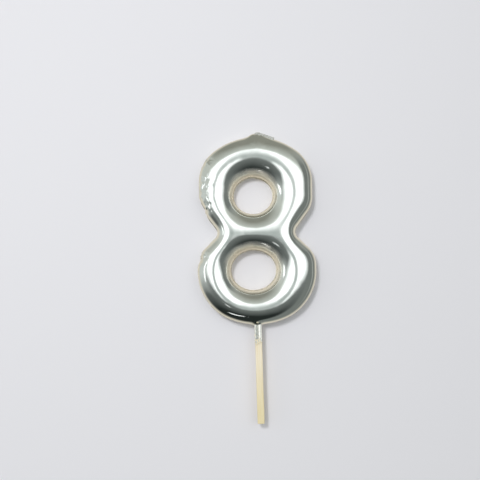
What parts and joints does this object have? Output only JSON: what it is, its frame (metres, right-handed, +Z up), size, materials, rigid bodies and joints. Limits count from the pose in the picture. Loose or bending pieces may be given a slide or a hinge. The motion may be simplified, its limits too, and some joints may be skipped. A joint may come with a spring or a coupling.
{
  "type": "number birthday candle",
  "caption": "Silver number candle in the shape of an 8, flat backed and domed in front, with a bent wick on top and a flat wooden pick below.",
  "frame": {"origin": "on the pick's axis, at the figure's lowest point, where the pick leaves the wax", "axes": "+Z up, from the pick to the wick; +X to the figure's right as it is read; the domed front faces -Y and the flat back faces +Y"},
  "size_m": [0.0516, 0.0105, 0.1259],
  "materials": {
    "wax": "satin",
    "silver_lacquer": "polished",
    "wick_cotton": "matte",
    "pick_wood": "matte"
  },
  "bodies": {
    "root": {"wax_figure": "wax", "silver_coat": "silver_lacquer", "wick": "wick_cotton", "wick_coat": "silver_lacquer", "stick": "pick_wood", "stick_coat": "silver_lacquer"}
  },
  "joints": []
}
